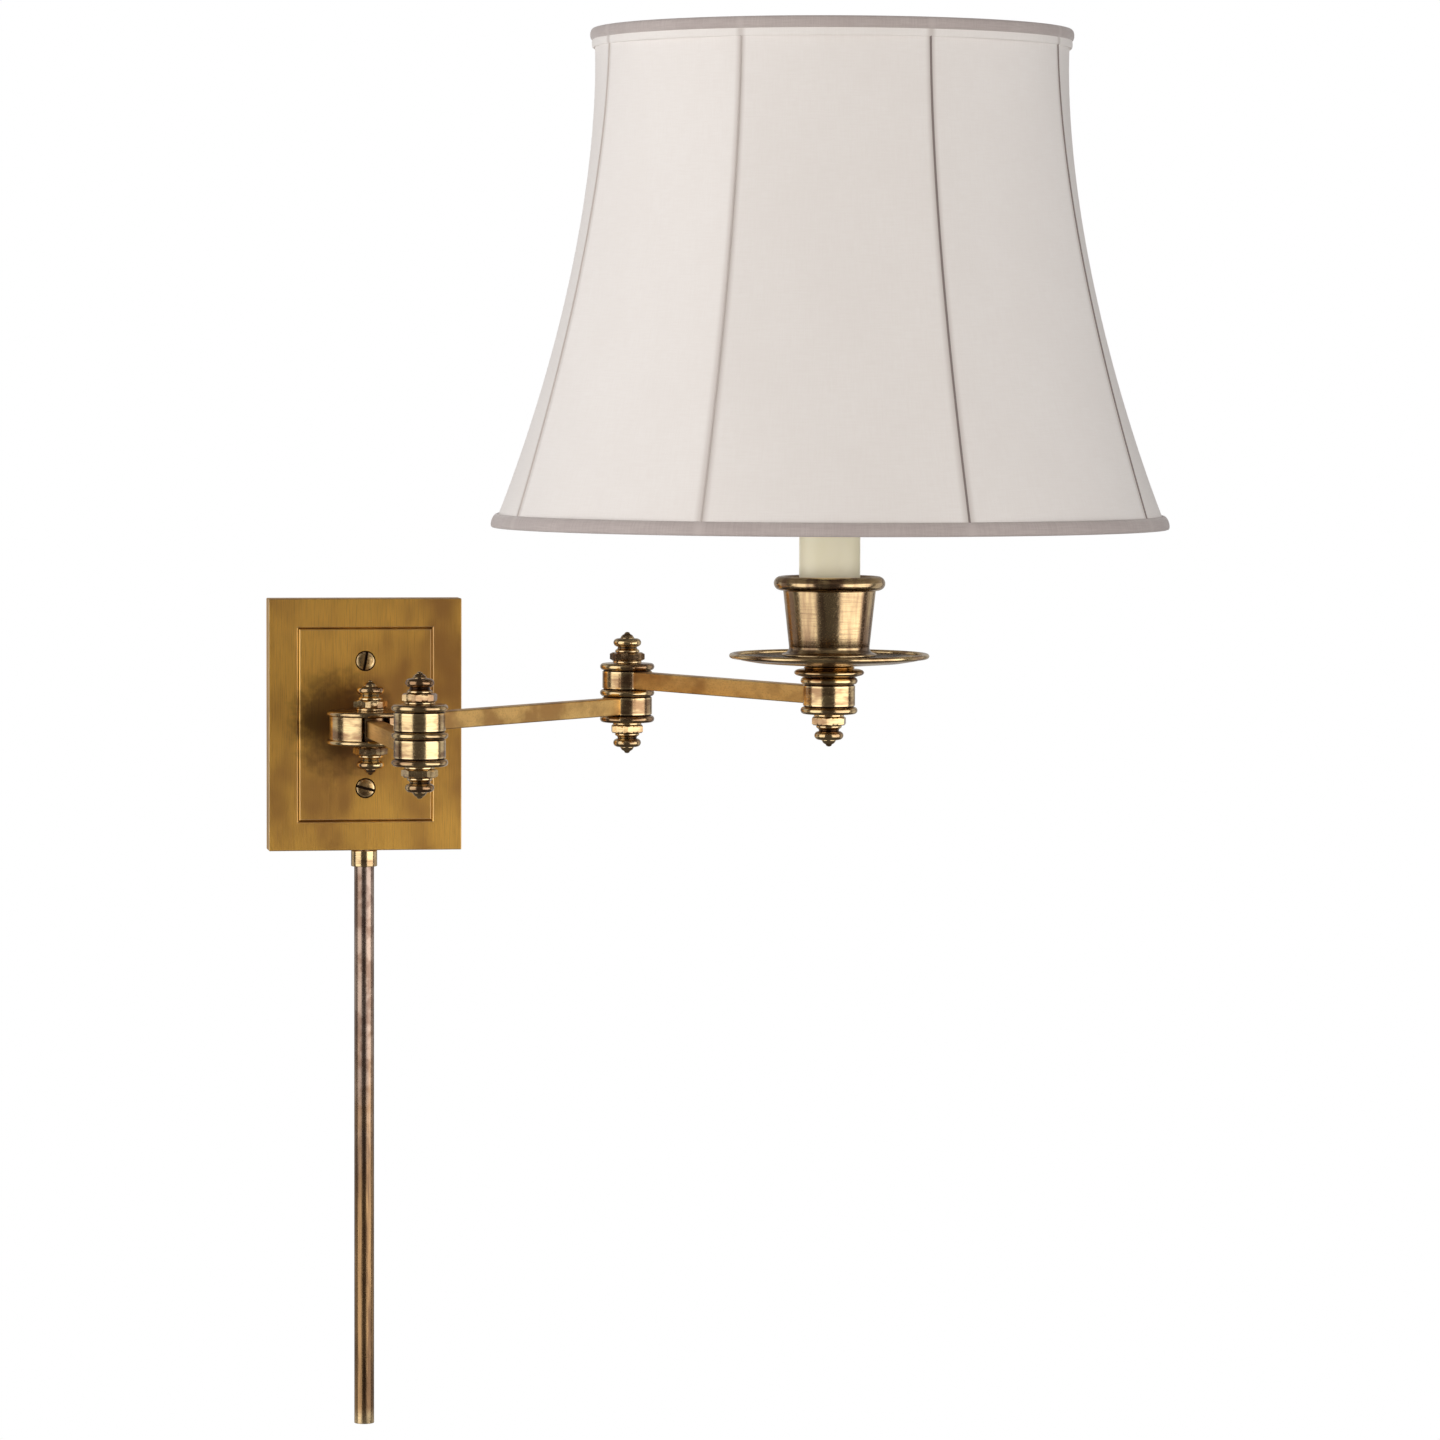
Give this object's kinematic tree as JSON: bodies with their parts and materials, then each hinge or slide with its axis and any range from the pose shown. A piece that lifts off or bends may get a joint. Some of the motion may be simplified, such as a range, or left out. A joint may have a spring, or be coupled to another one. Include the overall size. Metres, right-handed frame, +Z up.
{
  "type": "swing arm wall lamp",
  "caption": "Wall lamp on jointed square-tube brass arms that swing flat, with a candle and drip dish under a bell-shaped cloth shade and a cord tube below the plate.",
  "frame": {"origin": "middle of the mounting strap's back face, on the wall behind the middle of the plate", "axes": "+Z up, -Y straight out from the wall, +X to the right as seen from the room"},
  "size_m": [0.3826, 0.3739, 0.655],
  "materials": {
    "turned_brass": "antique brushed brass, burnished on the beads and dark in the grooves",
    "plate_brass": "antique brass with an upright brushed grain and patchy patina",
    "arm_brass": "antique brass tube, satin",
    "tube_brass": "antique brass tube drawn lengthwise, satin",
    "steel": "zinc-plated",
    "candle": "ivory, satin",
    "socket_black": "black phenolic",
    "bulb_glass": "frosted",
    "shade_cloth": "white silk-like plain weave, sewn in eight panels",
    "shade_lining": "white lining cloth",
    "shade_trim": "rolled self-cloth binding"
  },
  "bodies": {
    "wall_bracket": {"cord_tube": "tube_brass", "mounting_strap": "steel", "plate_screw_lower": "turned_brass", "plate_screw_upper": "turned_brass", "shoulder_finial_lower": "turned_brass", "shoulder_finial_upper": "turned_brass", "shoulder_nut_lower": "turned_brass", "shoulder_nut_upper": "turned_brass", "shoulder_post": "turned_brass", "shoulder_washer_lower": "turned_brass", "shoulder_washer_upper": "turned_brass", "stem_locknut": "steel", "tube_collar": "turned_brass", "wall_plate": "plate_brass", "wall_stem": "turned_brass"},
    "lower_arm": {"arm_1_tube": "arm_brass", "elbow_barrel_lower": "turned_brass", "elbow_finial_lower": "turned_brass", "elbow_finial_upper": "turned_brass", "elbow_nut_lower": "turned_brass", "elbow_nut_upper": "turned_brass", "elbow_rod": "turned_brass", "elbow_washer_lower": "turned_brass", "elbow_washer_upper": "turned_brass", "shoulder_drum": "turned_brass"},
    "middle_arm": {"arm_2_tube": "arm_brass", "elbow_barrel_upper": "turned_brass", "wrist_barrel_lower": "turned_brass", "wrist_finial_lower": "turned_brass", "wrist_finial_upper": "turned_brass", "wrist_nut_lower": "turned_brass", "wrist_nut_upper": "turned_brass", "wrist_rod": "turned_brass", "wrist_washer_lower": "turned_brass", "wrist_washer_upper": "turned_brass"},
    "upper_arm": {"arm_3_tube": "arm_brass", "bottom_trim": "shade_trim", "bulb_base": "steel", "bulb_glass": "bulb_glass", "candle_cup": "turned_brass", "candle_sleeve": "candle", "cup_locknut": "steel", "drip_dish": "turned_brass", "head_barrel": "turned_brass", "head_disc": "turned_brass", "head_finial_lower": "turned_brass", "head_nut_lower": "turned_brass", "head_pipe": "turned_brass", "head_washer_lower": "turned_brass", "lamp_socket": "socket_black", "shade_cloth": "shade_cloth", "shade_fitter": "steel", "shade_frame": "steel", "shade_lining": "shade_lining", "shade_ring_nut": "turned_brass", "top_trim": "shade_trim", "wrist_barrel_upper": "turned_brass"}
  },
  "joints": [
    {"name": "shoulder_swing", "type": "hinge", "parent": "wall_bracket", "child": "lower_arm", "pos_m": [0, -0.0355, 0], "axis": [0, 0, 1], "range_deg": [-72, 68]},
    {"name": "elbow_swing", "type": "hinge", "parent": "lower_arm", "child": "middle_arm", "pos_m": [0.00554, -0.19415, 0.0061], "axis": [0, 0, 1], "range_deg": [-214, 16]},
    {"name": "wrist_swing", "type": "hinge", "parent": "middle_arm", "child": "upper_arm", "pos_m": [0.11582, -0.07996, 0.0183], "axis": [0, 0, 1], "range_deg": [-50, 170]}
  ]
}
